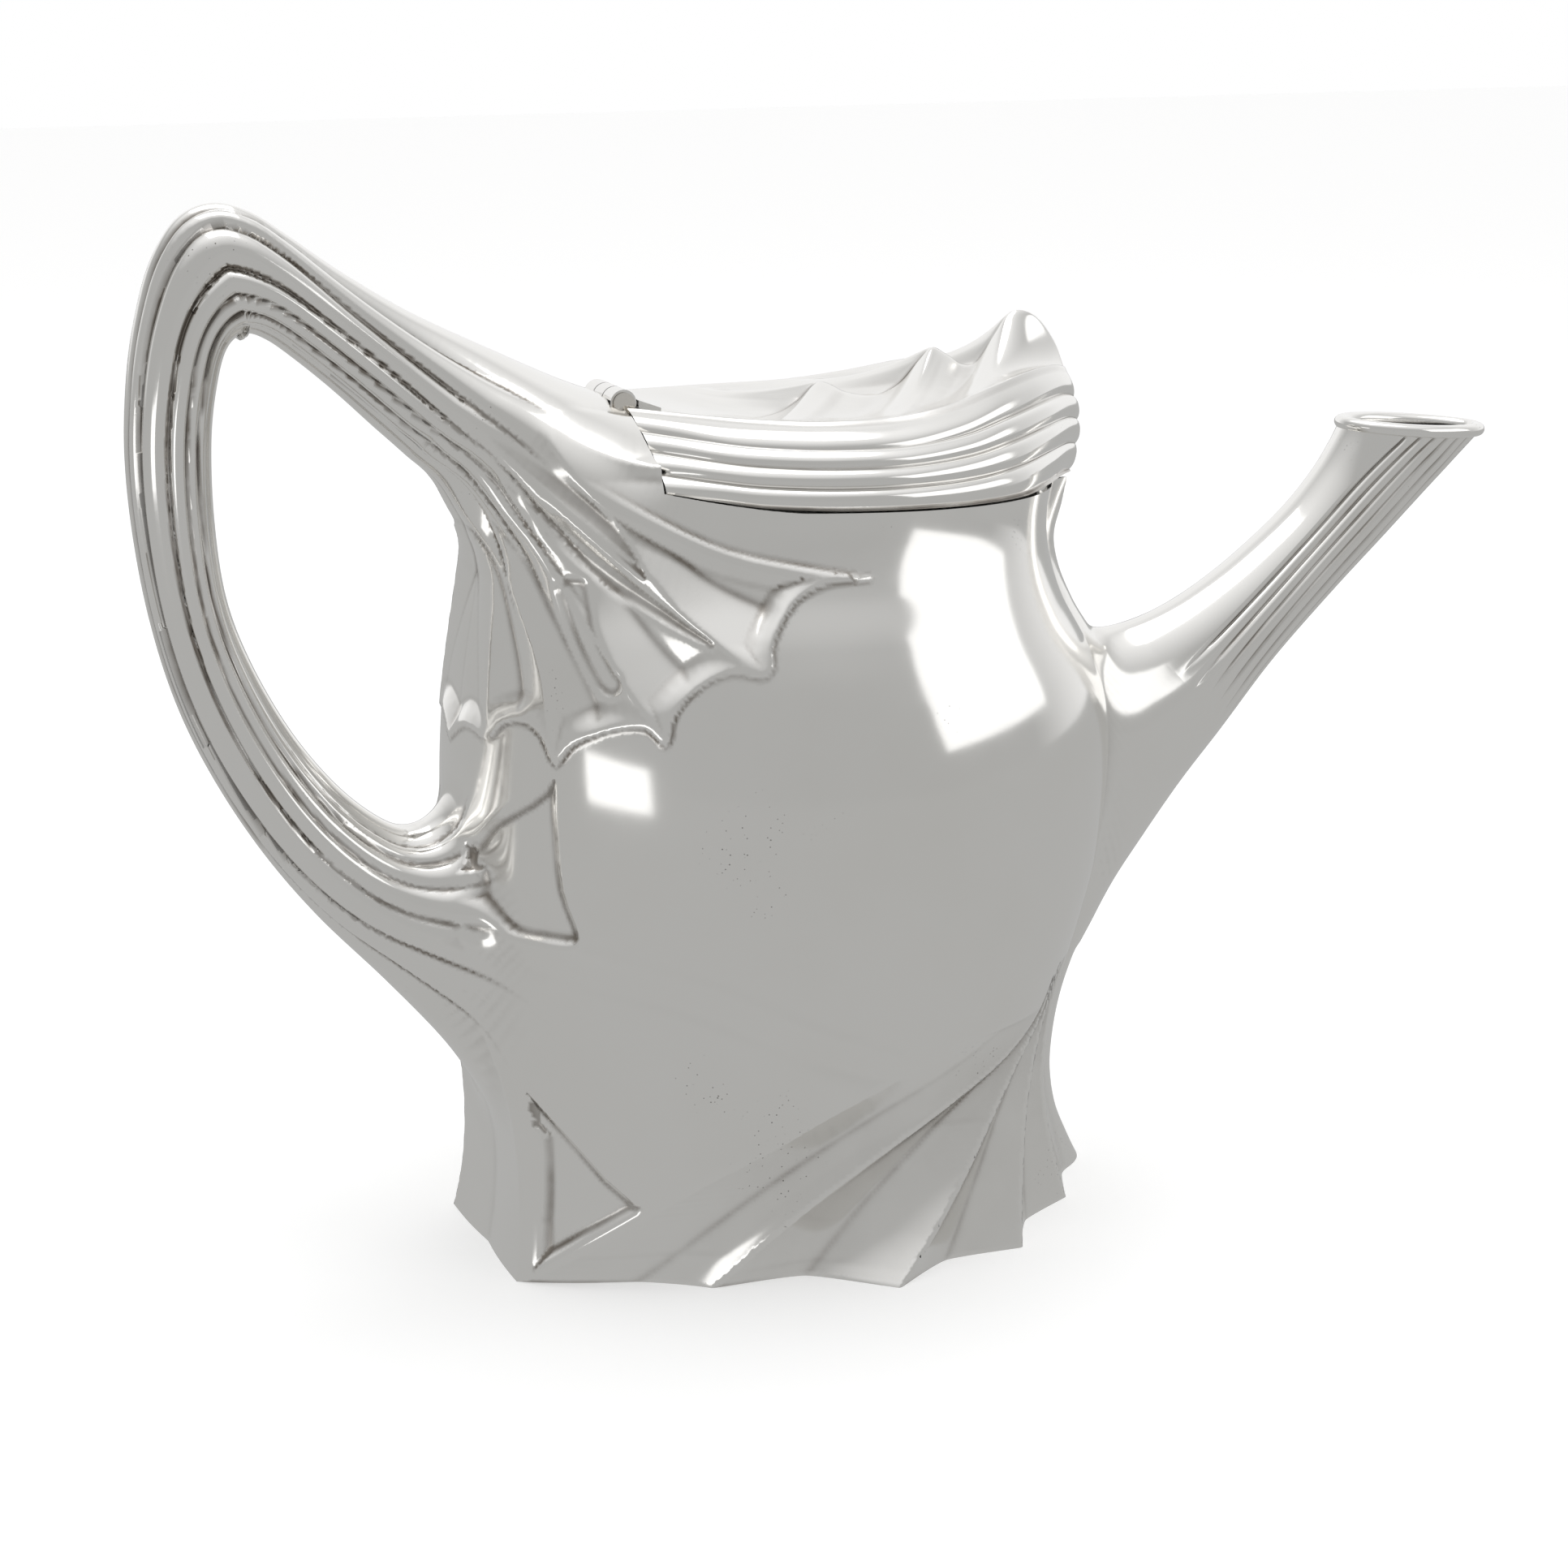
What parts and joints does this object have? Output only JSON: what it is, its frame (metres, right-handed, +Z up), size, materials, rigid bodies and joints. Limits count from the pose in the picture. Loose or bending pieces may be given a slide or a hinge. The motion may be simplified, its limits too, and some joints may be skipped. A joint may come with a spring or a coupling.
{
  "type": "teapot",
  "caption": "Polished silver teapot with a hinged wave-crested lid, long fluted spout, tall loop handle and a pointed, draped foot.",
  "frame": {"origin": "on the table, under the middle of the bounding box", "axes": "+X along the spout, +Z up, symmetric about the XZ plane"},
  "size_m": [0.2756, 0.111, 0.198],
  "materials": {
    "silver": "polished silver with a little tarnish in the grooves",
    "inside_silver": "dull silver",
    "hinge_silver": "worn, slightly tarnished silver"
  },
  "bodies": {
    "teapot_body": {"vessel_body": "silver", "bottom_plate": "inside_silver", "mouth_bezel": "inside_silver", "spout": "silver", "spout_lip": "silver", "strainer_plate": "inside_silver", "handle_near_half": "silver", "handle_far_half": "silver", "body_knuckle": "silver", "body_hinge_leaf": "silver", "hinge_pin": "hinge_silver", "pin_cap_near": "hinge_silver", "pin_cap_far": "hinge_silver"},
    "lid": {"lid_cover": "silver", "lid_flange": "inside_silver", "lid_knuckle_near": "silver", "lid_knuckle_far": "silver", "lid_hinge_leaf": "silver"}
  },
  "joints": [
    {"name": "lid_hinge", "type": "hinge", "parent": "teapot_body", "child": "lid", "pos_m": [-0.0497, 0, 0.1605], "axis": [0, -1, 0], "range_deg": [0, 105]}
  ]
}
